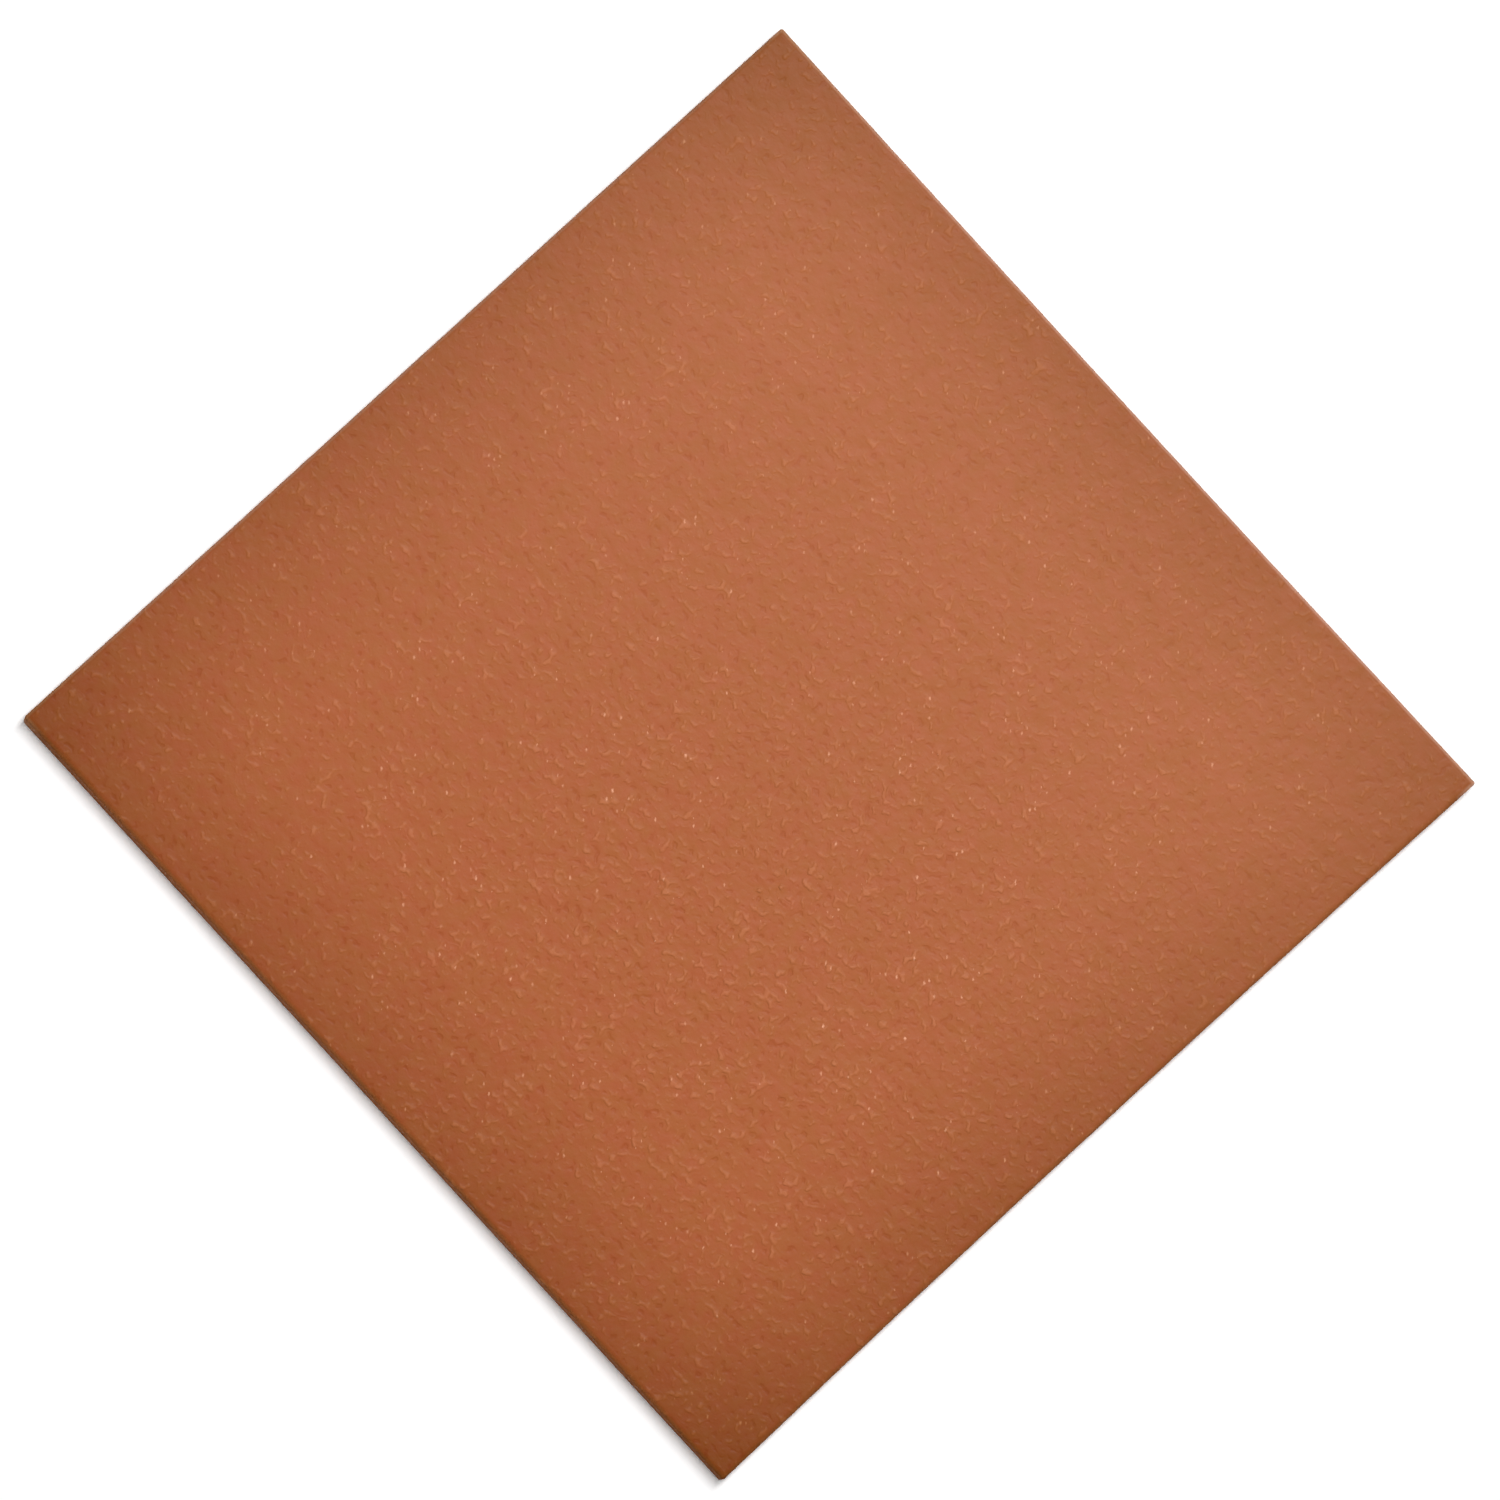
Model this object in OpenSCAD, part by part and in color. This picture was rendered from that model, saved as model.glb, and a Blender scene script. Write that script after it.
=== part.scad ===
// Square unglazed floor tile, lying flat with its wear face up.
// Millimetres. The origin is at the middle of the back face, X and Y run
// along the sides, and +Z points out of the wear face.

/* [Tile] */
// Side of the square
tile_side = 300; // [150:5:600]
// Thickness from the back face to the wear face
tile_thickness = 11; // [7:0.5:20]
// Radius of the rounded edge around the wear face
arris_radius = 2; // [0.5:0.25:3]
// Radius of the four upright corners
corner_radius = 1; // [0.25:0.25:4]
// Width and height of the bevel around the back
back_bevel = 0.8; // [0.2:0.1:1.5]

/* [Keying grooves in the back] */
// Width of the plain rim around the grooved field
rim_width = 9; // [6:1:30]
// Distance from the middle of one groove to the next
groove_pitch = 12; // [9:0.5:30]
// Width of a groove at the back face
groove_width = 6; // [4:0.5:8]
// Depth of a groove
groove_depth = 0.8; // [0.3:0.1:2]
// How far a groove's walls and ends lean in from its mouth to its floor
groove_draft = 0.8; // [0.2:0.1:1.5]

/* [Hidden] */
$fn = 64;
half_side = tile_side / 2;
// Cutting bodies run this far past the faces that they cut
overrun = 1;
groove_length = tile_side - 2 * rim_width;
// A land stays in the middle, and the grooves fill each half out to the rim
grooves_each_half = floor((half_side - rim_width - groove_width / 2) / groove_pitch + 0.5);

// Plan of the tile: a square with small round corners
module plan() {
    inner = tile_side - 2 * corner_radius;
    square([tile_side, inner], center = true);
    square([inner, tile_side], center = true);
    for (x = [-1, 1], y = [-1, 1])
        translate([x * inner / 2, y * inner / 2]) circle(corner_radius);
}

// Section across the tile: bevelled at the back, round at the wear face
module section() {
    face_half = half_side - arris_radius;
    shoulder = tile_thickness - arris_radius;
    polygon([
        [-half_side + back_bevel, 0],
        [half_side - back_bevel, 0],
        [half_side, back_bevel],
        [half_side, shoulder],
        [face_half, shoulder],
        [face_half, tile_thickness],
        [-face_half, tile_thickness],
        [-face_half, shoulder],
        [-half_side, shoulder],
        [-half_side, back_bevel]
    ]);
    for (x = [-1, 1])
        translate([x * face_half, shoulder]) circle(arris_radius);
}

// The section drawn out along Y, past both ends
module bar() {
    rotate([90, 0, 0])
        linear_extrude(height = tile_side + 2 * overrun, center = true) section();
}

module slab() {
    intersection() {
        linear_extrude(height = tile_thickness) plan();
        bar();
        rotate([0, 0, 90]) bar();
    }
}

// Section of a groove with a mouth of the given width, past the back face
module groove_section(mouth) {
    lean = groove_draft * overrun / groove_depth;
    polygon([
        [-mouth / 2 - lean, -overrun],
        [mouth / 2 + lean, -overrun],
        [mouth / 2 - groove_draft, groove_depth],
        [-mouth / 2 + groove_draft, groove_depth]
    ]);
}

// One groove along X, with leaning walls and leaning ends
module groove() {
    intersection() {
        rotate([90, 0, 90])
            linear_extrude(height = tile_side, center = true) groove_section(groove_width);
        rotate([90, 0, 0])
            linear_extrude(height = tile_side, center = true) groove_section(groove_length);
    }
}

module floor_tile() {
    color("#B66B47")
        difference() {
            slab();
            for (side = [-1, 1], i = [0 : grooves_each_half - 1])
                translate([0, side * (i + 0.5) * groove_pitch, 0]) groove();
        }
}

floor_tile();
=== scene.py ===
"""An unglazed floor tile of fired red clay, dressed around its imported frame.

Run as a script, it makes the tile and its stage. The panel in the 3D view's sidebar
lists the operators that make each of them.
"""

import math

import bpy
from mathutils import Matrix, Vector


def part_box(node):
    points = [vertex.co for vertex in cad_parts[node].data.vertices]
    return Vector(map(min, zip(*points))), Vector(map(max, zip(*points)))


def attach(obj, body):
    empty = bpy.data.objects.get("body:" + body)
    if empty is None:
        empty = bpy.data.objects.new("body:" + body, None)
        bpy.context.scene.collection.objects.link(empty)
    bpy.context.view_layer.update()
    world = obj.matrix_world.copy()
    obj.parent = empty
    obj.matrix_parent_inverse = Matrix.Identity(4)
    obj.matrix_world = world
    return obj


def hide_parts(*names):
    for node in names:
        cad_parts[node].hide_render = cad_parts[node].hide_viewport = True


bl_info = {
    "name": "Unglazed Floor Tile",
    "version": (1, 0, 0),
    "blender": (4, 5, 0),
    "location": "View3D > Sidebar > Floor Tile",
    "description": "Makes a square unglazed clay floor tile with a pressed relief, and its stage",
    "category": "Object",
}

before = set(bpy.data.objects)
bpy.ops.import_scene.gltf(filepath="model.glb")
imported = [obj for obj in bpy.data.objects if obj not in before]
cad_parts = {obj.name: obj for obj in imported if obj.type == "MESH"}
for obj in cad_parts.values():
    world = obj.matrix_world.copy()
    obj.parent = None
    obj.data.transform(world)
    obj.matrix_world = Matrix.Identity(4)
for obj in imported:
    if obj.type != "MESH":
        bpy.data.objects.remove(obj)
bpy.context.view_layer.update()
TILE_LOW, TILE_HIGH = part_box("floor_tile")
MM = 0.001

# Rows of mesh cells that go round the rounded edge, and down the side wall
EDGE_CELLS = 6
WALL_CELLS = 4
# Points nearer than this are one point, in metres
WELD = 2e-6
# A fold in the mesh sharper than this keeps its crease, in degrees
CREASE = 32
# How steeply the bow and the lean of a side fall off inwards from it, as a power
DRAW_FALL = 3.0

# How far apart the patterns in the clay come, in mm. The mesh has the waves and the leather,
# and the material has the others.
WAVES_APART = 45.0
PATCHES_APART = 8.0
LEATHER_APART = 6.0
FOLDS_APART = 6.0
RIPPLES_APART = 5.0
CLOUDS_APART = 4.5
CRUMBS_APART = 2.25
GRAINS_APART = 1.6

# How far in from a side the fire darkened the clay, in mm, how fast that fades, what share
# of the light it takes right at the sides, first the X side and then the Y side, and what
# share is left where the flash has its full colour
FLASH_WIDTH = 62.0
FLASH_FALL = 1.7
FLASH_AT_PLUS = (0.27, 0.22)
FLASH_AT_MINUS = (0.24, 0.28)
FLASH_FULL = 0.75
# How much of the flash is lifted in the corner at +X and +Y, which paints the sheen that reaches
# there. The one at +X and -Y gets a third of that share more flash, which paints the sheen falling
# short there.
PAINTED_CORNER_SHEEN = 0.3
# How much ochre the clay has where the clouds are thinnest, and where they are thickest
OCHRE_LEAST = -0.08
OCHRE_MOST = 0.38
# How near the side at +Y or -X an edge gets its painted light, and how far off it no longer does, in
# mm, and how much of it the edge gets at -X where it gets all of it at +Y. It paints the light and the
# white floor's reflection that the edges facing the lights catch.
LIT_EDGE_NEAR = 2.5
LIT_EDGE_FAR = 8.0
LIT_EDGE_AT_X = 0.45
# How far down from the wear face the edge's painted light and shade starts and is whole, and how far
# up from the back the raw clay ends and is whole, in mm
EDGE_STARTS = 0.22
EDGE_WHOLE = 0.6
RAW_ENDS = 1.2
RAW_WHOLE = 0.2

# Where the pressed skin is boldest and how far from there it is faintest, in mm, and how strong it is
# at its faintest and at its boldest. Around it the painted highlights on the crumbs and the grains are
# brightest too.
MIDDLE = (55.0, -30.0, TILE_HIGH[2] / MM)
MIDDLE_REACH = 190.0
SKIN_FAINT = 0.85
SKIN_BOLD = 1.35
# How much the crumbs' noise is raised where they crowd, and lowered where they thin out, and
# the crowding at which folds and pale grains start and are whole
CROWDING = 0.07
CROWD_STARTS = -0.02
CROWD_WHOLE = 0.05
# The noise at which a crumb starts to rise, where the skin is faintest and where it is
# boldest, how much more makes it whole, and the noise at which a pit starts and is whole
CRUMB_FAINT = 0.59
CRUMB_BOLD = 0.54
CRUMB_RISE = 0.24
PIT_STARTS = 0.38
PIT_WHOLE = 0.20
# How far the folds' noise strays from its middle before the fold ends
FOLD_HALF = 0.06
# The random draw above which a cell holds a pale grain, so that about one in seven does, the one above
# which the grain is bolder than the rest, and how many times as bold it may be: the bold ones are the
# brightest painted glints
GRAIN_DRAW = 0.85
BOLD_DRAW = 0.946
BOLDEST = 1.35
# The radius of the largest grain and of the smallest as shares of the cells' spacing, a
# grain's length as a multiple of its width, and its brightness where the skin is faintest
GRAIN_RADIUS = 0.33
GRAIN_LEAST = 0.001
GRAIN_LENGTH = 1.8
GRAIN_FAINT = 0.5
# How far apart the pushes come that make the grains ragged, and how long they are, in mm
PUSHES_APART = 0.7
PUSH_REACH = 0.35
# What each part of the pressed skin adds to the painted highlight colour, as a share, which paints
# light on the crumbs' tops and shade in the pits, and to the height, in mm
PAINTED_HIGHLIGHT_SHARES = {"crumbs": 0.135, "pits": -0.06, "crowd": 0.10}
HEIGHTS = {
    "folds": 0.03,
    "crumbs": 0.20,
    "pits": -0.10,
    "noise": 0.09,
    "ripples": 0.38,
    "grains": 0.06,
}
# The face is satin from the press plate, and the edges are rough. The clay's pores swallow
# most of its shine, so its specular level is far below the usual half.
FACE_ROUGHNESS = 0.5
EDGE_ROUGHNESS = 0.85
CLAY_IOR = 1.5
CLAY_SPECULAR = 0.086

# Half the floor's side in metres, and how far it lies below the tile's back in mm
FLOOR_HALF = 12.0
FLOOR_GAP = 0.05
# The share of the light that the white floor gives back to the tile
PAPER = 0.92
# How bright the white floor is where it is seen, so that it reads as white: around the
# tile, and far off, where little of the light falls, with both distances in metres
PAPER_SEEN = 1.10
PAPER_FAR = 8.0
NEAR_THE_TILE = 0.3
FAR_OFF = 5.0

MATHS = "ShaderNodeMath"
VECTORS = "ShaderNodeVectorMath"
NOISE = "ShaderNodeTexNoise"
CELLS = "ShaderNodeTexVoronoi"
RANGE = "ShaderNodeMapRange"
BLEND = "ShaderNodeMix"
# A blend's sockets share their names, so they go by number: its two vectors and their
# result, and its two colours and theirs
VECTOR_A = 4
VECTOR_B = 5
VECTOR_MIXED = 1
COLOUR_A = 6
COLOUR_B = 7
COLOUR_MIXED = 2
# Settings of a blend of two colours, whose share may go past either of them
OF_COLOURS = {"data_type": "RGBA", "clamp_factor": False}
# Settings of a range that eases in and out at its ends
EASED = {"interpolation_type": "SMOOTHSTEP"}


def linear(hex_colour):
    """An sRGB hex colour as linear red, green, blue and alpha."""
    channels = [int(hex_colour[i : i + 2], 16) / 255 for i in (1, 3, 5)]
    return (*[c / 12.92 if c <= 0.04045 else ((c + 0.055) / 1.055) ** 2.4 for c in channels], 1.0)


def add(tree, kind, *inputs, named=None, **settings):
    """Add a node: its properties come from settings, its inputs in order or by name.

    An input is a value, a socket, a node (its first output is linked), a list of these
    for a socket that takes several, or None to leave it alone.
    """
    node = tree.nodes.new(kind)
    for name, value in settings.items():
        setattr(node, name, value)
    for key, given in [*enumerate(inputs), *(named or {}).items()]:
        for value in given if isinstance(given, list) else [given]:
            if isinstance(value, bpy.types.Node):
                value = value.outputs[0]
            if isinstance(value, bpy.types.NodeSocket):
                tree.links.new(value, node.inputs[key])
            elif value is not None:
                node.inputs[key].default_value = value
    return node


def length(name, description, default_mm, lowest_mm=0.0):
    """A length that the user may change, written in millimetres and kept in metres."""
    return bpy.props.FloatProperty(
        name=name,
        description=description,
        default=default_mm * MM,
        min=lowest_mm * MM,
        precision=5,
        subtype="DISTANCE",
        unit="LENGTH",
    )


def colour(name, description, hex_colour):
    """A colour that the user may change, written as sRGB hex and kept as linear."""
    return bpy.props.FloatVectorProperty(
        name=name,
        description=description,
        default=linear(hex_colour),
        size=4,
        min=0.0,
        max=1.0,
        subtype="COLOR",
    )


def angle(name, description, degrees):
    """An angle that the user may change, written in degrees and kept in radians."""
    return bpy.props.FloatProperty(
        name=name,
        description=description,
        default=math.radians(degrees),
        subtype="ANGLE",
        unit="ROTATION",
    )


def power(name, description, watts):
    """The power of a light that the user may change, in watts."""
    return bpy.props.FloatProperty(
        name=name,
        description=description,
        default=watts,
        min=0.0,
        subtype="POWER",
        unit="POWER",
    )


class TileSizes(bpy.types.PropertyGroup):
    """Sizes of the tile. The side and the thickness come from the frame."""

    side: length("Side", "Side of the square", (TILE_HIGH[0] - TILE_LOW[0]) / MM, 50)
    thickness: length("Thickness", "Back face to wear face", (TILE_HIGH[2] - TILE_LOW[2]) / MM, 4)
    edge_radius: length("Edge radius", "Rounding around the wear face", 2.0, 0.2)
    corner_radius: length("Corner radius", "Rounding of the four upright corners", 1.0, 0.1)
    back_bevel: length("Back bevel", "Bevel around the back face", 0.8, 0.1)
    rim_width: length("Rim width", "Plain rim around the grooves in the back", 9.0, 2)
    groove_pitch: length("Groove pitch", "From one groove to the next", 12.0, 4)
    groove_width: length("Groove width", "Width of a groove at its mouth", 6.0, 2)
    groove_depth: length("Groove depth", "Depth of a groove", 0.8, 0.1)
    groove_draft: length("Groove draft", "How far a groove's walls lean in", 0.8, 0.05)
    relief: length("Relief", "Depth of the pressed relief that is in the mesh", 0.16)
    swell: length("Swell", "Depth of the slow waves in the wear face", 0.10)
    bow_x: length("Bow of the X side", "How far the side at +X draws in at its middle", 1.12)
    bow_y: length("Bow of the Y side", "How far the side at +Y draws in at its middle", 0.49)
    lean_low: length("Lean at -X", "How far the top of the wall at -Y leans in, at its -X end", 1.1)
    lean_high: length("Lean at +X", "How far the top of the wall at -Y leans in, at its +X end", 0.75)
    cells: bpy.props.IntProperty(
        name="Cells",
        description="Mesh cells along a side, an even number",
        default=288,
        min=32,
        max=300,
    )


class ClayLook(bpy.types.PropertyGroup):
    """Colours of the fired clay, and of the light and shade painted on it."""

    # Deep and pale: the face is painted paler towards +Y, which paints part of the sheen of the lights
    # that lean that way
    deep: colour("Deep", "The clay of the wear face, towards the side at -Y", "#AD5B33")
    pale: colour("Pale", "The clay of the wear face, towards the side at +Y", "#B56944")
    ochre: colour("Ochre", "Its browner clouds", "#AA6733")
    flash: colour("Flash", "What is left of the clay's colour where the fire darkened it", "#E1DDCB")
    # Painted shade: the arris and the walls that face away from the lights
    painted_shade_edge: colour("Shaded edge", "The arris and the walls at -Y and +X", "#AA653A")
    # Painted light: the arris and the walls that face the lights, with the white floor's reflection
    painted_lit_edge: colour("Lit edge", "The arris and the walls at +Y and -X", "#DAA08D")
    # Painted highlight on the crumbs' tops; mixed away from it, it paints shade in the pits
    painted_highlight: colour("Highlight", "The tops of the raised grain, where the light catches it", "#F8A27A")
    # Pale grains of crushed fired clay, with their glints painted in
    grain: colour("Grain", "Pale grains of crushed fired clay", "#EAA481")
    raw: colour("Raw", "The dry clay of the back", "#B4714C")


class StudioSettings(bpy.types.PropertyGroup):
    """The camera and the light."""

    camera_azimuth: angle("Camera azimuth", "0 looks along +Y", 3.0)
    camera_elevation: angle("Camera elevation", "Above the floor", 86.2)
    camera_roll: angle("Camera roll", "Turn of the picture about the line of sight", 44.45)
    camera_distance: length("Camera distance", "From the point that it looks at", 2200)
    camera_aim_x: length("Camera aim X", "From the middle of the tile to where it looks", -0.65, -50)
    camera_aim_y: length("Camera aim Y", "From the middle of the tile to where it looks", -0.16, -50)
    camera_lens: bpy.props.FloatProperty(
        name="Camera lens",
        description="Focal length",
        default=181.67,
        subtype="DISTANCE_CAMERA",
        unit="CAMERA",
    )
    key_distance: length("Key distance", "From the tile to the soft light", 2300)
    key_length: length("Key length", "Length of the soft light, along its lean", 1500)
    key_width: length("Key width", "Width of the soft light", 500)
    key_tilt: angle("Key tilt", "How far the soft light leans from straight above", 10.0)
    key_turn: angle("Key turn", "Where the soft light leans to, from +X towards +Y", 95.0)
    key_power: power("Key power", "Power of the soft light", 49.2)
    sheen_distance: length("Sheen distance", "From the tile to the light of the sheen", 4600)
    sheen_length: length("Sheen length", "Length of the light that only the sheen shows", 2000)
    sheen_width: length("Sheen width", "Width of the light that only the sheen shows", 1200)
    sheen_tilt: angle("Sheen tilt", "How far the light of the sheen leans from straight above", 27.0)
    sheen_turn: angle("Sheen turn", "Where the light of the sheen leans to, from +X towards +Y", 112.0)
    sheen_power: power("Sheen power", "Power of the light of the sheen", 310.0)
    sky: bpy.props.FloatProperty(
        name="Sky",
        description="Brightness of the even light from all round",
        default=0.13,
        min=0.0,
        max=2.0,
    )


# ---------------------------------------------------------------- the tile's mesh


def round_the_edge(tree, given, past):
    """How far a place reaches out past the flat, in plan, and the angle it has turned down.

    It is given how far past the flat the place is along X and Y, as shares of the edge, and
    the larger one sets the angle. At a corner, the places with one angle lie on a ring that
    runs straight, then round by the corner's radius, then straight again.
    """
    most = add(tree, MATHS, past["X"], past["Y"], operation="MAXIMUM")
    least = add(tree, MATHS, past["X"], past["Y"], operation="MINIMUM")
    turn = add(tree, MATHS, most, math.pi / 2, operation="MULTIPLY")
    reach = add(tree, MATHS, turn, operation="SINE")

    # Along half of such a ring, from its start to the corner's diagonal
    corner = given["Corner radius"]
    straight_run = add(tree, MATHS, given["Edge radius"], corner, operation="SUBTRACT")
    ring_run = add(tree, MATHS, corner, math.pi / 4, straight_run, operation="MULTIPLY_ADD")
    along = add(tree, MATHS, least, most, operation="DIVIDE")
    along = add(tree, MATHS, along, ring_run, operation="MULTIPLY")
    straight = add(tree, MATHS, along, straight_run, operation="MINIMUM")
    bend = add(tree, MATHS, along, straight, operation="SUBTRACT")
    bend = add(tree, MATHS, bend, corner, operation="DIVIDE")
    across = add(tree, MATHS, bend, operation="COSINE")
    across = add(tree, MATHS, across, corner, straight_run, operation="MULTIPLY_ADD")
    sideways = add(tree, MATHS, bend, operation="SINE")
    sideways = add(tree, MATHS, sideways, corner, straight, operation="MULTIPLY_ADD")

    off_x = add(tree, "ShaderNodeCombineXYZ", across, sideways)
    off_y = add(tree, "ShaderNodeCombineXYZ", sideways, across)
    mostly_x = add(tree, MATHS, past["X"], past["Y"], operation="GREATER_THAN")
    ends = {VECTOR_A: off_y, VECTOR_B: off_x}
    ring = add(tree, BLEND, mostly_x, named=ends, data_type="VECTOR").outputs[VECTOR_MIXED]
    return add(tree, VECTORS, ring, named={"Scale": reach}, operation="SCALE"), turn


def wear_face(tree, given):
    """The wear face: a grid whose outer rows curl down round the edge and the corners.

    The grid starts with cells of one unit. The inner ones spread evenly over the flat, and
    the outermost rows, EDGE_CELLS of them, each turn the same angle round the edge.
    """
    cells = given["Cells"]
    rows = add(tree, MATHS, cells, 1, operation="ADD")
    grid = add(tree, "GeometryNodeMeshGrid", cells, cells, rows, rows)
    place = add(tree, "GeometryNodeInputPosition")
    from_middle = add(tree, VECTORS, place, operation="ABSOLUTE")

    half_cells = add(tree, MATHS, cells, 2, operation="DIVIDE")
    flat_cells = add(tree, MATHS, half_cells, EDGE_CELLS, operation="SUBTRACT")
    half_side = add(tree, MATHS, given["Side"], 2, operation="DIVIDE")
    flat_half = add(tree, MATHS, half_side, given["Edge radius"], operation="SUBTRACT")
    cell = add(tree, MATHS, flat_half, flat_cells, operation="DIVIDE")
    on_flat = add(tree, VECTORS, from_middle, flat_cells, operation="MINIMUM")
    on_flat = add(tree, VECTORS, on_flat, named={"Scale": cell}, operation="SCALE")

    past_flat = add(tree, VECTORS, from_middle, flat_cells, operation="SUBTRACT")
    past_flat = add(tree, VECTORS, past_flat, (0, 0, 0), operation="MAXIMUM")
    past_flat = add(tree, VECTORS, past_flat, (EDGE_CELLS,) * 3, operation="DIVIDE")
    past = add(tree, "ShaderNodeSeparateXYZ", past_flat).outputs
    over_edge, turn = round_the_edge(tree, given, past)

    plan = add(tree, VECTORS, on_flat, over_edge, operation="ADD")
    side_of_middle = add(tree, VECTORS, place, operation="SIGN")
    plan = add(tree, VECTORS, plan, side_of_middle, operation="MULTIPLY")
    rise = add(tree, MATHS, turn, operation="COSINE")
    shoulder = add(tree, MATHS, given["Thickness"], given["Edge radius"], operation="SUBTRACT")
    height = add(tree, MATHS, rise, given["Edge radius"], shoulder, operation="MULTIPLY_ADD")
    lift = add(tree, "ShaderNodeCombineXYZ", 0.0, 0.0, height)
    spot = add(tree, VECTORS, plan, lift, operation="ADD")
    return add(tree, "GeometryNodeSetPosition", grid, named={"Position": spot})


def side_walls(tree, given, face):
    """The walls, drawn down from the face's border, and the bevel under them.

    Gives the mesh, and the edges of its open border on the floor.
    """
    wall = add(tree, MATHS, given["Thickness"], given["Edge radius"], operation="SUBTRACT")
    wall = add(tree, MATHS, wall, given["Back bevel"], operation="SUBTRACT")
    step = add(tree, MATHS, wall, WALL_CELLS, operation="DIVIDE")
    # An edge of the open border has one face beside it, and any other edge has two
    neighbours = add(tree, "GeometryNodeInputMeshEdgeNeighbors")
    border = add(tree, MATHS, neighbours, 1.5, operation="LESS_THAN").outputs[0]
    down = add(tree, "ShaderNodeCombineXYZ", 0.0, 0.0, -1.0)
    mesh = face
    for drop in [step] * WALL_CELLS + [given["Back bevel"]]:
        drawn = add(tree, "GeometryNodeExtrudeMesh", mesh, border, down, drop, mode="EDGES")
        mesh = drawn.outputs["Mesh"]
        border = drawn.outputs["Top"]
    half_side = add(tree, MATHS, given["Side"], 2, operation="DIVIDE")
    shrink = add(tree, MATHS, given["Back bevel"], half_side, operation="DIVIDE")
    shrink = add(tree, MATHS, 1.0, shrink, operation="SUBTRACT")
    inward = add(tree, "ShaderNodeCombineXYZ", shrink, shrink, 0.0)
    place = add(tree, "GeometryNodeInputPosition")
    on_floor = add(tree, VECTORS, place, inward, operation="MULTIPLY")
    mesh = add(tree, "GeometryNodeSetPosition", mesh, border, on_floor)
    return mesh, border


def relief_depth(tree, given):
    """How far the clay lies below the envelope: slow waves, and a pressed leathery grain.

    What is finer than the mesh's cells is bump in the material.
    """
    place = add(tree, "GeometryNodeInputPosition")
    in_mm = add(tree, VECTORS, place, named={"Scale": 1 / MM}, operation="SCALE")
    wave = add(tree, NOISE, in_mm, named={"Scale": 1 / WAVES_APART, "Detail": 1.0})
    leathery = {"Scale": 1 / LEATHER_APART, "Detail": 1.5, "Roughness": 0.5, "Distortion": 0.6}
    leather = add(tree, NOISE, in_mm, named=leathery)
    wave = add(tree, MATHS, wave, given["Swell"], operation="MULTIPLY")
    return add(tree, MATHS, leather, given["Relief"], wave, operation="MULTIPLY_ADD")


def press_relief(tree, given, mesh):
    """Sink the face and the walls by the relief, which fades out just above the back's bevel."""
    place = add(tree, "GeometryNodeInputPosition")
    height = add(tree, "ShaderNodeSeparateXYZ", place).outputs["Z"]
    above_back = add(
        tree, RANGE, height, given["Back bevel"], given["Edge radius"], 0.0, -1.0, **EASED
    )
    depth = add(tree, MATHS, above_back, relief_depth(tree, given), operation="MULTIPLY")
    normal = add(tree, "GeometryNodeInputNormal")
    inward = add(tree, VECTORS, normal, named={"Scale": depth}, operation="SCALE")
    return add(tree, "GeometryNodeSetPosition", mesh, named={"Offset": inward})


def groove_row(tree, given):
    """A point for each keying groove, in one row along Y: as many as the rim leaves room for.

    They lie evenly about the middle, the first ones half a pitch from it.
    """
    half_side = add(tree, MATHS, given["Side"], 2, operation="DIVIDE")
    room = add(tree, MATHS, half_side, given["Rim width"], operation="SUBTRACT")
    half_groove = add(tree, MATHS, given["Groove width"], 2, operation="DIVIDE")
    room = add(tree, MATHS, room, half_groove, operation="SUBTRACT")
    # WELD makes up for rounding, so that a groove that just fits is kept
    in_half = add(tree, MATHS, room, given["Groove pitch"], operation="DIVIDE")
    in_half = add(tree, MATHS, in_half, 0.5 + WELD, operation="ADD")
    in_half = add(tree, MATHS, in_half, operation="FLOOR")
    count = add(tree, MATHS, in_half, 2, operation="MULTIPLY")
    first = add(tree, MATHS, 0.5, in_half, operation="SUBTRACT")
    first = add(tree, MATHS, first, given["Groove pitch"], operation="MULTIPLY")
    start = add(tree, "ShaderNodeCombineXYZ", 0.0, first, 0.0)
    pitch = add(tree, "ShaderNodeCombineXYZ", 0.0, given["Groove pitch"], 0.0)
    spread = {"Count": count, "Start Location": start, "Offset": pitch}
    return add(tree, "GeometryNodeMeshLine", named=spread, mode="OFFSET")


def groove_trough(tree, given, size):
    """One groove: a box with its top drawn in by the draft, open below and seen from inside."""
    trough = add(tree, "GeometryNodeMeshCube", size, 2, 2, 2)
    place = add(tree, "GeometryNodeInputPosition")
    level = add(tree, "ShaderNodeSeparateXYZ", place).outputs["Z"]
    deep = add(tree, MATHS, level, 0.0, operation="GREATER_THAN")
    twice_draft = add(tree, MATHS, given["Groove draft"], 2, operation="MULTIPLY")
    lean = add(tree, "ShaderNodeCombineXYZ", twice_draft, twice_draft, 0.0)
    lean = add(tree, VECTORS, lean, size, operation="DIVIDE")
    lean = add(tree, VECTORS, (1, 1, 1), lean, operation="SUBTRACT")
    floor_spot = add(tree, VECTORS, place, lean, operation="MULTIPLY")
    trough = add(tree, "GeometryNodeSetPosition", trough, deep, floor_spot)
    half_depth = add(tree, MATHS, given["Groove depth"], 2, operation="DIVIDE")
    raised = add(tree, "ShaderNodeCombineXYZ", 0.0, 0.0, half_depth)
    trough = add(tree, "GeometryNodeSetPosition", trough, named={"Offset": raised})
    # The face that looks straight down is taken off
    normal = add(tree, "GeometryNodeInputNormal")
    facing = add(tree, "ShaderNodeSeparateXYZ", normal).outputs["Z"]
    open_side = add(tree, MATHS, facing, -0.9, operation="LESS_THAN")
    trough = add(tree, "GeometryNodeDeleteGeometry", trough, open_side, domain="FACE")
    return add(tree, "GeometryNodeFlipFaces", trough)


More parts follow.
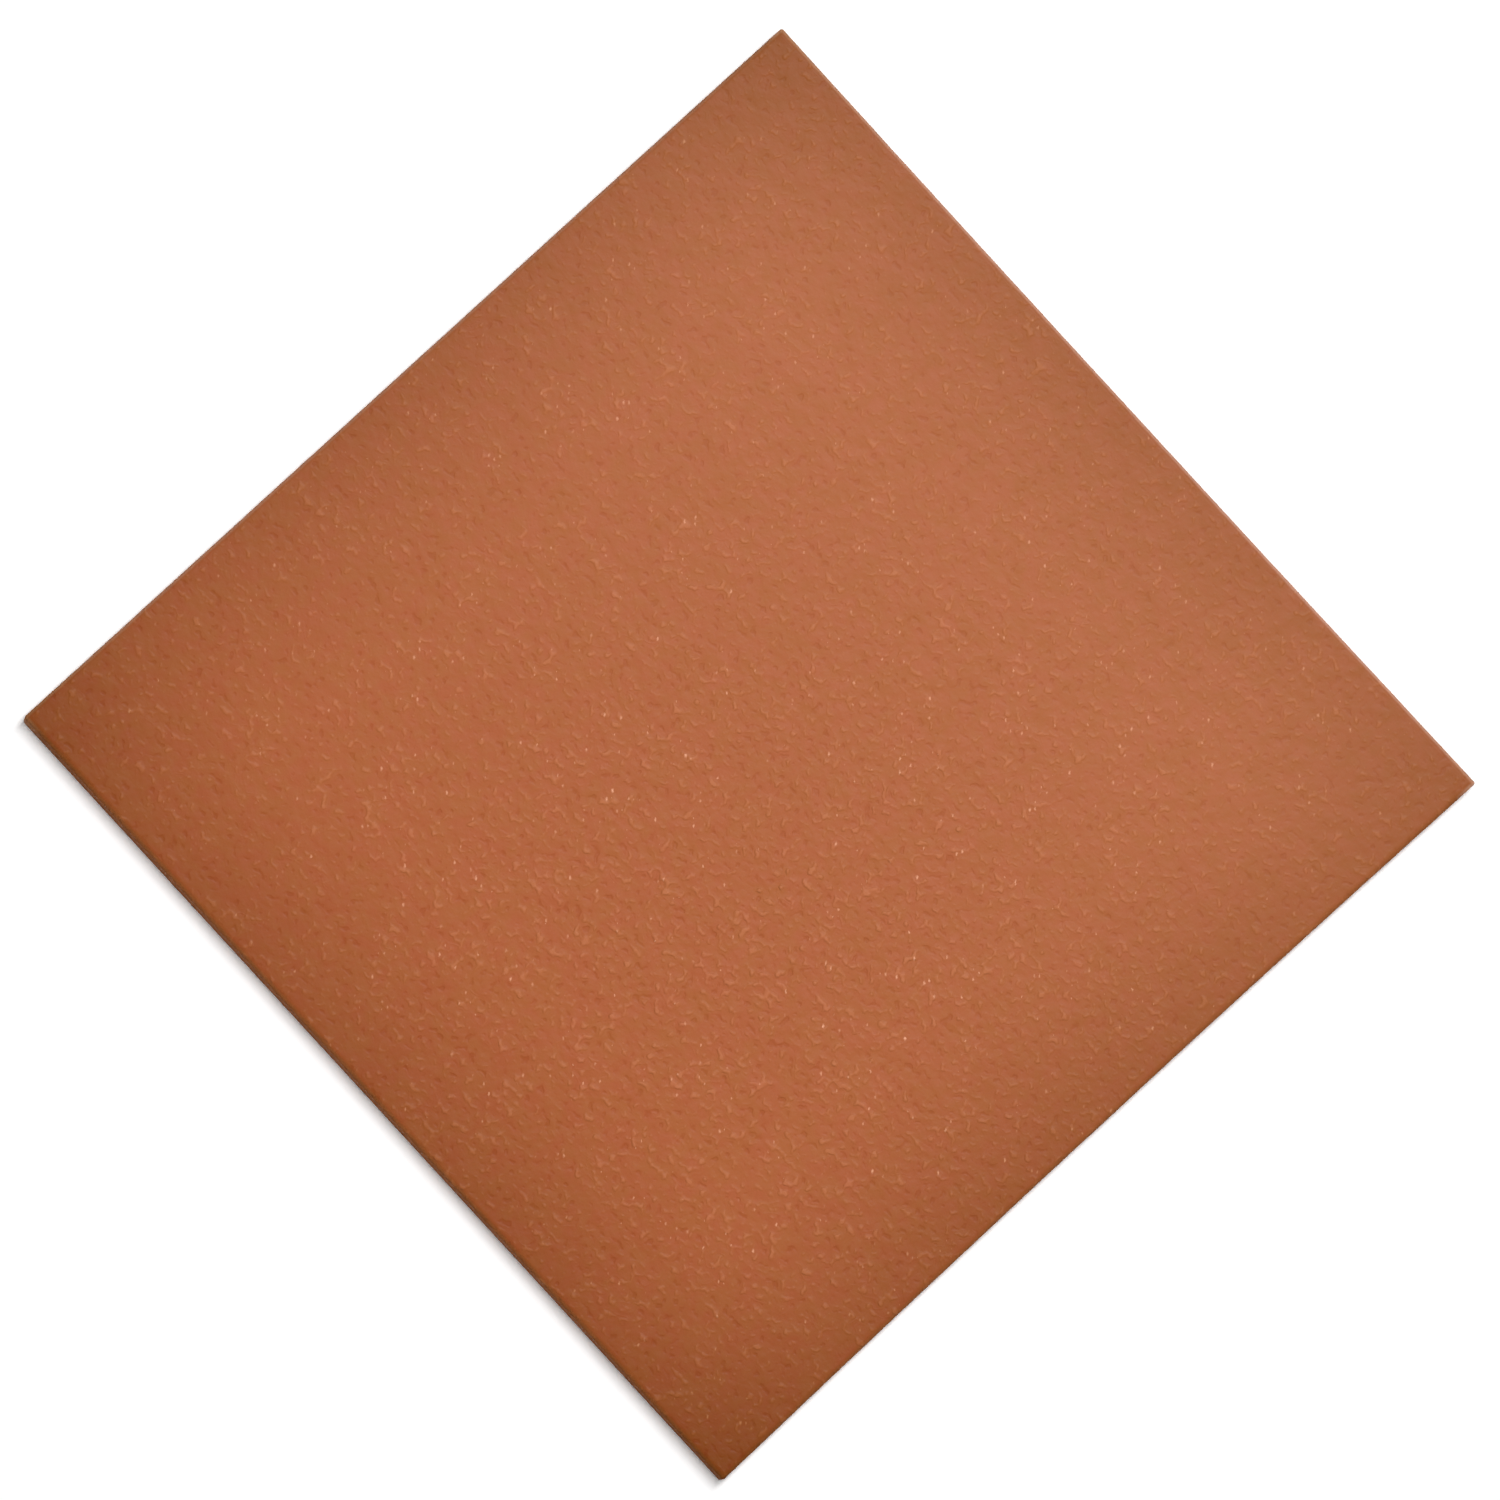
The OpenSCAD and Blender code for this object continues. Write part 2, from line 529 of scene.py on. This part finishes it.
def grooved_back(tree, given, mesh, border):
    """The back: one flat face out to the border, with a row of keying grooves sunk in it."""
    twice_rim = add(tree, MATHS, given["Rim width"], 2, operation="MULTIPLY")
    mouth_length = add(tree, MATHS, given["Side"], twice_rim, operation="SUBTRACT")
    mouth_width = given["Groove width"]
    row = groove_row(tree, given)

    mouth = add(tree, "GeometryNodeCurvePrimitiveQuadrilateral", mouth_length, mouth_width)
    mouths = add(tree, "GeometryNodeInstanceOnPoints", row, named={"Instance": mouth})
    rim = add(tree, "GeometryNodeMeshToCurve", mesh, border)
    outlines = add(tree, "GeometryNodeJoinGeometry", [rim, mouths])
    outlines = add(tree, "GeometryNodeRealizeInstances", outlines)
    lands = add(tree, "GeometryNodeFillCurve", outlines, mode="TRIANGLES")
    lands = add(tree, "GeometryNodeFlipFaces", lands)

    size = add(tree, "ShaderNodeCombineXYZ", mouth_length, mouth_width, given["Groove depth"])
    trough = groove_trough(tree, given, size)
    troughs = add(tree, "GeometryNodeInstanceOnPoints", row, named={"Instance": trough})
    whole = add(tree, "GeometryNodeJoinGeometry", [mesh, lands, troughs])
    whole = add(tree, "GeometryNodeRealizeInstances", whole)
    return add(tree, "GeometryNodeMergeByDistance", whole, named={"Distance": WELD})


def bowed_sides(tree, given, mesh):
    """Draw the +X and +Y sides in towards their middle, as a tile pulls in the kiln."""
    half_side = add(tree, MATHS, given["Side"], 2, operation="DIVIDE")
    place = add(tree, "GeometryNodeInputPosition")
    share = add(tree, VECTORS, place, half_side, operation="DIVIDE")
    part = add(tree, "ShaderNodeSeparateXYZ", share).outputs
    draws = []
    for outward, along, bow in (("X", "Y", "Bow of the X side"), ("Y", "X", "Bow of the Y side")):
        near_side = add(tree, MATHS, part[outward], 0.0, operation="MAXIMUM")
        near_side = add(tree, MATHS, near_side, DRAW_FALL, operation="POWER")
        square = add(tree, MATHS, part[along], part[along], operation="MULTIPLY")
        arch = add(tree, MATHS, 1.0, square, operation="SUBTRACT")
        draw = add(tree, MATHS, near_side, arch, operation="MULTIPLY")
        draws.append(add(tree, MATHS, draw, given[bow], operation="MULTIPLY"))
    draw_in = add(tree, "ShaderNodeCombineXYZ", *draws)
    draw_in = add(tree, VECTORS, draw_in, named={"Scale": -1.0}, operation="SCALE")
    return add(tree, "GeometryNodeSetPosition", mesh, named={"Offset": draw_in})


def leaning_wall(tree, given, mesh):
    """Lean the top of the wall at -Y inwards, most at its -X end."""
    half_side = add(tree, MATHS, given["Side"], 2, operation="DIVIDE")
    place = add(tree, "GeometryNodeInputPosition")
    part = add(tree, "ShaderNodeSeparateXYZ", place).outputs
    far_side = add(tree, MATHS, half_side, -1.0, operation="MULTIPLY")
    near_side = add(tree, RANGE, part["Y"], 0.0, far_side, 0.0, 1.0)
    near_side = add(tree, MATHS, near_side, DRAW_FALL, operation="POWER")
    up = add(tree, MATHS, part["Z"], given["Thickness"], operation="DIVIDE")
    here = add(tree, RANGE, part["X"], far_side, half_side, given["Lean at -X"], given["Lean at +X"])
    draw = add(tree, MATHS, near_side, up, operation="MULTIPLY")
    draw = add(tree, MATHS, draw, here, operation="MULTIPLY")
    draw_in = add(tree, "ShaderNodeCombineXYZ", 0.0, draw, 0.0)
    return add(tree, "GeometryNodeSetPosition", mesh, named={"Offset": draw_in})


def tile_tree(sizes):
    """The tile's node tree, and the values for its inputs by socket identifier."""
    tree = bpy.data.node_groups.new("floor_tile_shape", "GeometryNodeTree")
    values = {}
    for name in sizes.bl_rna.properties.keys():
        prop = sizes.bl_rna.properties[name]
        if prop.type not in ("FLOAT", "INT"):
            continue
        kind = "NodeSocketInt" if prop.type == "INT" else "NodeSocketFloat"
        socket = tree.interface.new_socket(prop.name, in_out="INPUT", socket_type=kind)
        values[socket.identifier] = getattr(sizes, name)
    clay = tree.interface.new_socket("Clay", in_out="INPUT", socket_type="NodeSocketMaterial")
    tree.interface.new_socket("Tile", in_out="OUTPUT", socket_type="NodeSocketGeometry")
    return tree, values, clay.identifier


def pressed_tile(sizes, clay):
    """The tile as one closed mesh, made by its node tree and then kept as plain mesh."""
    tree, values, clay_input = tile_tree(sizes)
    group_input = tree.nodes.new("NodeGroupInput")
    given = {socket.name: socket for socket in group_input.outputs}
    mesh = wear_face(tree, given)
    mesh, border = side_walls(tree, given, mesh)
    mesh = press_relief(tree, given, mesh)
    mesh = grooved_back(tree, given, mesh, border)
    mesh = bowed_sides(tree, given, mesh)
    mesh = leaning_wall(tree, given, mesh)
    fold = add(tree, "GeometryNodeInputMeshEdgeAngle")
    gentle = add(tree, MATHS, fold, math.radians(CREASE), operation="LESS_THAN")
    mesh = add(tree, "GeometryNodeSetShadeSmooth", mesh, named={"Shade Smooth": gentle}, domain="EDGE")
    mesh = add(tree, "GeometryNodeRealizeInstances", mesh)
    mesh = add(tree, "GeometryNodeSetMaterial", mesh, named={"Material": given["Clay"]})
    add(tree, "NodeGroupOutput", mesh)

    blank = bpy.data.objects.new("blank", bpy.data.meshes.new("blank"))
    bpy.context.collection.objects.link(blank)
    shape = blank.modifiers.new("Shape", "NODES")
    shape.node_group = tree
    for identifier, value in values.items():
        shape[identifier] = value
    shape[clay_input] = clay
    view = bpy.context.evaluated_depsgraph_get()
    made = bpy.data.meshes.new_from_object(blank.evaluated_get(view), depsgraph=view)
    bpy.data.objects.remove(blank)
    # The first slot is the empty one that the tree's own primitives start with
    made.materials.pop(index=0)
    made.name = "tile"
    tile = bpy.data.objects.new("tile", made)
    bpy.context.collection.objects.link(tile)
    return tile


# ---------------------------------------------------------------- the clay


def new_material(name):
    """An empty node material, and its tree."""
    material = bpy.data.materials.new(name)
    material.use_nodes = True
    material.node_tree.nodes.clear()
    return material, material.node_tree


def fire_flash(tree, sizes, in_mm):
    """How much the fire has darkened the clay: none inside, most along the four sides.

    Of the two corners at +X, it is weaker in the one at +Y and stronger in the one at -Y, which paints
    the sheen: more of it reaches the corner at +Y and less the one at -Y.
    """
    half_side = sizes.side / 2 / MM
    left = 1.0
    for outward, (taken_x, taken_y) in ((1, FLASH_AT_PLUS), (-1, FLASH_AT_MINUS)):
        inset = add(tree, VECTORS, in_mm, (-outward,) * 3, (half_side,) * 3, operation="MULTIPLY_ADD")
        near = add(tree, VECTORS, inset, (-1 / FLASH_WIDTH,) * 3, (1, 1, 1), operation="MULTIPLY_ADD")
        near = add(tree, VECTORS, near, (0, 0, 0), operation="MAXIMUM")
        near = add(tree, VECTORS, near, (FLASH_FALL,) * 3, operation="POWER")
        kept = add(tree, VECTORS, near, (-taken_x, -taken_y, 0), (1, 1, 1), operation="MULTIPLY_ADD")
        part = add(tree, "ShaderNodeSeparateXYZ", kept).outputs
        both = add(tree, MATHS, part["X"], part["Y"], operation="MULTIPLY")
        left = add(tree, MATHS, left, both, operation="MULTIPLY")
    flash = add(tree, RANGE, left, 1.0, FLASH_FULL, 0.0, 1.0, clamp=False)
    # Painted sheen: the flash is lifted towards the corner at +X and +Y, and deepened towards the one
    # at +X and -Y
    place = add(tree, "ShaderNodeSeparateXYZ", in_mm).outputs
    to_x = add(tree, MATHS, place["X"], 0.0, operation="MAXIMUM")
    corner = add(tree, MATHS, to_x, place["Y"], operation="MULTIPLY")
    far = half_side**2
    corner_sheen = add(tree, RANGE, corner, -far / 3, far, 1 + PAINTED_CORNER_SHEEN / 3, 1 - PAINTED_CORNER_SHEEN)
    return add(tree, MATHS, flash, corner_sheen, operation="MULTIPLY")


def pushed_about(tree, in_mm):
    """The same place, pushed a little to and fro, so that what is round turns ragged."""
    push = add(tree, NOISE, in_mm, named={"Scale": 1 / PUSHES_APART, "Detail": 1.0})
    push = add(tree, VECTORS, push.outputs["Color"], (0.5, 0.5, 0.5), operation="SUBTRACT")
    return add(tree, VECTORS, push, (2 * PUSH_REACH,) * 3, in_mm, operation="MULTIPLY_ADD")


def nearness(tree, in_mm):
    """How near MIDDLE a place is: one there, and none from MIDDLE_REACH outwards."""
    away = add(tree, VECTORS, in_mm, MIDDLE, operation="DISTANCE").outputs["Value"]
    return add(tree, RANGE, away, MIDDLE_REACH, 0.0, 0.0, 1.0, **EASED)


def crowding(tree, in_mm):
    """Where the crumbs crowd together, above zero, and where they thin out, below it."""
    patches = add(tree, NOISE, in_mm, named={"Scale": 1 / PATCHES_APART, "Detail": 1.0})
    # The noise seldom leaves this range, and what does is held at its ends
    return add(tree, RANGE, patches, 0.3, 0.7, -CROWDING, CROWDING)


def thin_folds(tree, in_mm, crowded):
    """Thin raised folds in the pressed skin, each a few millimetres long.

    A fold runs wherever its noise crosses the middle of its range.
    """
    winding = {"Scale": 1 / FOLDS_APART, "Detail": 1.0, "Distortion": 0.6}
    fold = add(tree, NOISE, in_mm, named=winding)
    fold = add(tree, MATHS, fold, 0.5, operation="SUBTRACT")
    fold = add(tree, MATHS, fold, operation="ABSOLUTE")
    ridge = add(tree, RANGE, fold, FOLD_HALF, 0.0, 0.0, 1.0, **EASED)
    return add(tree, MATHS, ridge, crowded, operation="MULTIPLY")


def pale_grains(tree, in_mm, near, crowded):
    """Grains of crushed fired clay that show on the face, one in some of the cells, with their glints
    painted in as pale colour.

    They are up to a millimetre wide and two long, lie along the diagonal that ends at -X and
    +Y, and are palest where the skin is boldest.
    """
    ragged = pushed_about(tree, in_mm)
    turned = {"Rotation": (0, 0, math.pi / 4), "Scale": (1.0, GRAIN_LENGTH, 1.0)}
    ragged = add(tree, "ShaderNodeMapping", ragged, named=turned, vector_type="TEXTURE")
    spread = {"Scale": 1 / GRAINS_APART}
    spots = add(tree, CELLS, ragged, named=spread, voronoi_dimensions="2D").outputs
    draw = add(tree, "ShaderNodeSeparateColor", spots["Color"]).outputs["Red"]
    radius = add(tree, RANGE, draw, GRAIN_DRAW, 1.0, GRAIN_LEAST, GRAIN_RADIUS)
    away = add(tree, MATHS, spots["Distance"], radius, operation="DIVIDE")
    grain = add(tree, RANGE, away, 1.0, 0.0, 0.0, 1.0, **EASED)
    grain = add(tree, MATHS, grain, crowded, operation="MULTIPLY")
    bright = add(tree, RANGE, near, 0.0, 1.0, GRAIN_FAINT, 1.0)
    grain = add(tree, MATHS, grain, bright, operation="MULTIPLY")
    # The boldest grains carry the brightest painted glints
    bold = add(tree, RANGE, draw, BOLD_DRAW, 1.0, 1.0, BOLDEST)
    return add(tree, MATHS, grain, bold, operation="MULTIPLY")


def weighed(tree, parts, weights):
    """The sum of the named parts, each times its own weight."""
    total = 0.0
    for name, weight in weights.items():
        total = add(tree, MATHS, parts[name], weight, total, operation="MULTIPLY_ADD")
    return total


def pressed_skin(tree, in_mm, edge):
    """The skin left by the press plate: crumbs stand up in it and pits sink in between.

    It is boldest around MIDDLE, and an edge has no pale grains and no folds.
    Gives the share of painted highlight in the colour, which is painted light on the crumbs' tops and
    painted shade in the pits, the share of pale grain, and the height in millimetres.
    """
    near = nearness(tree, in_mm)
    crowd = crowding(tree, in_mm)
    crowded = add(tree, RANGE, crowd, CROWD_STARTS, CROWD_WHOLE, 0.0, 1.0, **EASED)
    on_face = add(tree, MATHS, 1.0, edge, operation="SUBTRACT")
    crowded = add(tree, MATHS, crowded, on_face, operation="MULTIPLY")
    crumbly = {"Scale": 1 / CRUMBS_APART, "Detail": 0.7, "Roughness": 0.4}
    noise = add(tree, NOISE, in_mm, named=crumbly)
    noise = add(tree, MATHS, noise, crowd, operation="ADD")
    least = add(tree, RANGE, near, 0.0, 1.0, CRUMB_FAINT, CRUMB_BOLD)
    most = add(tree, MATHS, least, CRUMB_RISE, operation="ADD")
    # The clay's own grit, under 0.2 mm, is too fine to show. The finest of the ripples
    # stand for it, and are drawn as coarse as 0.6 mm.
    ripples = add(tree, NOISE, in_mm, named={"Scale": 1 / RIPPLES_APART, "Detail": 3.0})
    grains = pale_grains(tree, in_mm, near, crowded)
    parts = {
        "crumbs": add(tree, RANGE, noise, least, most, 0.0, 1.0, **EASED),
        "pits": add(tree, RANGE, noise, PIT_STARTS, PIT_WHOLE, 0.0, 1.0, **EASED),
        "folds": thin_folds(tree, in_mm, crowded),
        "crowd": crowd,
        "noise": noise,
        "ripples": ripples,
        "grains": grains,
    }
    # Painted light on the crumbs' tops and painted shade in the pits
    painted_highlight = weighed(tree, parts, PAINTED_HIGHLIGHT_SHARES)
    height = weighed(tree, parts, HEIGHTS)
    strength = add(tree, RANGE, near, 0.0, 1.0, SKIN_FAINT, SKIN_BOLD)
    height = add(tree, MATHS, height, strength, operation="MULTIPLY")
    return painted_highlight, grains, height


def clay_colours(tree, look, sizes, in_mm):
    """The clay's colour: from deep to pale across the tile, which paints part of the sheen of the
    lights that lean towards +Y, with browner clouds.

    The arris and the walls are painted dark at -Y and +X, as the shade where they face away from the
    lights, and painted pale at +Y and less so at -X, as the light and the white floor's reflection
    that they catch there. The back is raw. Gives the colour, and the share of edge in it.
    """
    place = add(tree, "ShaderNodeSeparateXYZ", in_mm).outputs
    half_side = sizes.side / 2 / MM
    top = sizes.thickness / MM
    # Painted sheen: the face gets paler towards +Y, where the lights lean
    across = add(tree, RANGE, place["Y"], -half_side, half_side, 0.0, 1.0)
    clouds = add(tree, NOISE, in_mm, named={"Scale": 1 / CLOUDS_APART, "Detail": 2.0})
    clouds = add(tree, RANGE, clouds, 0.35, 0.65, OCHRE_LEAST, OCHRE_MOST)
    edge = add(tree, RANGE, place["Z"], top - EDGE_STARTS, top - EDGE_WHOLE, 0.0, 1.0)
    # The edges are painted: light and the floor's reflection towards +Y and less towards -X, shade
    # towards -Y and +X
    far, near = half_side - LIT_EDGE_FAR, half_side - LIT_EDGE_NEAR
    at_y = add(tree, RANGE, place["Y"], far, near, 0.0, 1.0)
    at_x = add(tree, RANGE, place["X"], -far, -near, 0.0, LIT_EDGE_AT_X)
    lit_share = add(tree, MATHS, at_y, at_x, operation="MAXIMUM")
    ends = {COLOUR_A: look.painted_shade_edge, COLOUR_B: look.painted_lit_edge}
    edge_light_and_shade = add(tree, BLEND, lit_share, named=ends, **OF_COLOURS).outputs[COLOUR_MIXED]
    back = add(tree, RANGE, place["Z"], RAW_ENDS, RAW_WHOLE, 0.0, 1.0)
    clay = look.deep
    for share, other in (
        (across, look.pale),
        (clouds, look.ochre),
        (edge, edge_light_and_shade),
        (back, look.raw),
    ):
        ends = {COLOUR_A: clay, COLOUR_B: other}
        clay = add(tree, BLEND, share, named=ends, **OF_COLOURS).outputs[COLOUR_MIXED]
    return clay, edge


def fired_clay(look, sizes):
    """Unglazed stoneware clay, pressed against a textured plate and fired red.

    Dry and satin: a broad soft sheen towards the light, a fine leathery grain that catches it, with
    highlights painted on its crumbs and shade painted in its pits, and scattered pale grains of
    crushed fired clay, whose glints are painted in.
    """
    material, tree = new_material("unglazed red stoneware")
    coords = add(tree, "ShaderNodeTexCoord").outputs["Object"]
    in_mm = add(tree, VECTORS, coords, named={"Scale": 1 / MM}, operation="SCALE")
    clay, edge = clay_colours(tree, look, sizes, in_mm)
    painted_highlight, grains, height = pressed_skin(tree, in_mm, edge)
    flash = fire_flash(tree, sizes, in_mm)
    # Painted highlights on the crumbs and shade in the pits, then the grains with their painted
    # glints, then the flash with its painted corner sheen
    for share, other, way in (
        (painted_highlight, look.painted_highlight, "MIX"),
        (grains, look.grain, "MIX"),
        (flash, look.flash, "MULTIPLY"),
    ):
        ends = {COLOUR_A: clay, COLOUR_B: other}
        mixed = add(tree, BLEND, share, named=ends, blend_type=way, **OF_COLOURS)
        clay = mixed.outputs[COLOUR_MIXED]
    bump = add(tree, "ShaderNodeBump", named={"Strength": 1.0, "Distance": MM, "Height": height})
    roughness = add(tree, RANGE, edge, 0.0, 1.0, FACE_ROUGHNESS, EDGE_ROUGHNESS)
    surface = add(
        tree,
        "ShaderNodeBsdfPrincipled",
        named={
            "Base Color": clay,
            "Roughness": roughness,
            "IOR": CLAY_IOR,
            "Specular IOR Level": CLAY_SPECULAR,
            "Normal": bump,
        },
    )
    add(tree, "ShaderNodeOutputMaterial", surface)
    return material


# ---------------------------------------------------------------- the stage


def seen_directly(tree):
    """One where the camera, a mirror or a glass shows a place; none where it only gives light."""
    path = add(tree, "ShaderNodeLightPath").outputs
    seen = add(tree, MATHS, path["Is Camera Ray"], path["Is Glossy Ray"], operation="MAXIMUM")
    return add(tree, MATHS, seen, path["Is Transmission Ray"], operation="MAXIMUM")


def white_floor():
    """Matt white studio paper: it takes the shadow, and is lit past white to the camera."""
    material, tree = new_material("white studio paper")
    coords = add(tree, "ShaderNodeTexCoord").outputs["Object"]
    away = add(tree, VECTORS, coords, operation="LENGTH").outputs["Value"]
    seen = add(tree, RANGE, away, NEAR_THE_TILE, FAR_OFF, PAPER_SEEN, PAPER_FAR)
    shade = add(tree, RANGE, seen_directly(tree), 0.0, 1.0, PAPER, seen)
    paper = add(tree, "ShaderNodeBsdfDiffuse", shade)
    add(tree, "ShaderNodeOutputMaterial", paper)
    return material


def make_floor():
    """A wide floor, a hair below the tile's back."""
    level = TILE_LOW[2] - FLOOR_GAP * MM
    signs = ((-1, -1), (1, -1), (1, 1), (-1, 1))
    corners = [(x * FLOOR_HALF, y * FLOOR_HALF, level) for x, y in signs]
    mesh = bpy.data.meshes.new("floor")
    mesh.from_pydata(corners, [], [(0, 1, 2, 3)])
    mesh.materials.append(white_floor())
    floor = bpy.data.objects.new("floor", mesh)
    bpy.context.collection.objects.link(floor)
    return floor


def make_sky(studio):
    """Even light from all round, which the camera sees as white."""
    world = bpy.data.worlds.new("studio")
    world.use_nodes = True
    tree = world.node_tree
    tree.nodes.clear()
    strength = add(tree, RANGE, seen_directly(tree), 0.0, 1.0, studio.sky, 1.0)
    light = add(tree, "ShaderNodeBackground", (1, 1, 1, 1), strength)
    add(tree, "ShaderNodeOutputWorld", light)
    bpy.context.scene.world = world


def soft_light(name, target, distance, tilt, turn, width, long_side, power):
    """A soft light that leans from straight above, with its long side along the lean."""
    away = Matrix.Rotation(turn - math.pi / 2, 3, "Z") @ Matrix.Rotation(-tilt, 3, "X")
    light = bpy.data.lights.new(name, "AREA")
    light.shape = "ELLIPSE"
    light.size = width
    light.size_y = long_side
    light.energy = power
    lamp = bpy.data.objects.new(name, light)
    lamp.location = target + away @ Vector((0, 0, distance))
    lamp.rotation_mode = "QUATERNION"
    lamp.rotation_quaternion = away.to_quaternion()
    bpy.context.collection.objects.link(lamp)
    return lamp


def make_lights(studio, target):
    """The long soft light above, and one that leans further, which only the sheen shows."""
    key = soft_light(
        "key",
        target,
        studio.key_distance,
        studio.key_tilt,
        studio.key_turn,
        studio.key_width,
        studio.key_length,
        studio.key_power,
    )
    key.visible_glossy = False
    sheen = soft_light(
        "sheen",
        target,
        studio.sheen_distance,
        studio.sheen_tilt,
        studio.sheen_turn,
        studio.sheen_width,
        studio.sheen_length,
        studio.sheen_power,
    )
    sheen.visible_diffuse = False


def make_camera(studio, middle):
    """A long lens that looks down on the wear face, with the tile set on its corner."""
    target = middle + Vector((studio.camera_aim_x, studio.camera_aim_y, 0))
    around = Matrix.Rotation(studio.camera_azimuth, 3, "Z")
    tip = Matrix.Rotation(math.pi / 2 - studio.camera_elevation, 3, "X")
    roll = Matrix.Rotation(studio.camera_roll, 3, "Z")
    turn = around @ tip @ roll
    camera = bpy.data.objects.new("camera", bpy.data.cameras.new("camera"))
    camera.data.lens = studio.camera_lens
    camera.rotation_mode = "QUATERNION"
    camera.rotation_quaternion = turn.to_quaternion()
    camera.location = target + turn @ Vector((0, 0, studio.camera_distance))
    bpy.context.collection.objects.link(camera)
    bpy.context.scene.camera = camera


# ---------------------------------------------------------------- the add-on


class FLOOR_TILE_OT_tile(bpy.types.Operator):
    """Make the tile: its pressed and fired body, with the grooved back"""

    bl_idname = "floor_tile.tile"
    bl_label = "Floor Tile"

    def execute(self, context):
        sizes = context.scene.tile_sizes
        tile = pressed_tile(sizes, fired_clay(context.scene.clay_look, sizes))
        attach(tile, "root")
        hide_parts("floor_tile")
        return {"FINISHED"}


class FLOOR_TILE_OT_stage(bpy.types.Operator):
    """Make the stage: the white floor, the light and the camera"""

    bl_idname = "floor_tile.stage"
    bl_label = "Stage"

    def execute(self, context):
        studio = context.scene.tile_studio
        target = Vector((0, 0, TILE_HIGH[2]))
        make_floor()
        make_sky(studio)
        make_lights(studio, target)
        make_camera(studio, target)
        context.scene.view_settings.view_transform = "Standard"
        return {"FINISHED"}


class FLOOR_TILE_PT_panel(bpy.types.Panel):
    """The steps that make the tile and its stage, with their settings"""

    bl_idname = "FLOOR_TILE_PT_panel"
    bl_label = "Floor Tile"
    bl_space_type = "VIEW_3D"
    bl_region_type = "UI"
    bl_category = "Floor Tile"

    def draw(self, context):
        scene = context.scene
        for operator, groups in (
            (FLOOR_TILE_OT_tile, (scene.tile_sizes, scene.clay_look)),
            (FLOOR_TILE_OT_stage, (scene.tile_studio,)),
        ):
            box = self.layout.box()
            box.operator(operator.bl_idname)
            for group in groups:
                for name in group.__annotations__:
                    box.prop(group, name)


CLASSES = (
    TileSizes,
    ClayLook,
    StudioSettings,
    FLOOR_TILE_OT_tile,
    FLOOR_TILE_OT_stage,
    FLOOR_TILE_PT_panel,
)


def register():
    for cls in CLASSES:
        bpy.utils.register_class(cls)
    bpy.types.Scene.tile_sizes = bpy.props.PointerProperty(type=TileSizes)
    bpy.types.Scene.clay_look = bpy.props.PointerProperty(type=ClayLook)
    bpy.types.Scene.tile_studio = bpy.props.PointerProperty(type=StudioSettings)


def unregister():
    del bpy.types.Scene.tile_studio
    del bpy.types.Scene.clay_look
    del bpy.types.Scene.tile_sizes
    for cls in reversed(CLASSES):
        bpy.utils.unregister_class(cls)


def main():
    register()
    bpy.ops.floor_tile.tile()
    bpy.ops.floor_tile.stage()


if __name__ == "__main__":
    main()
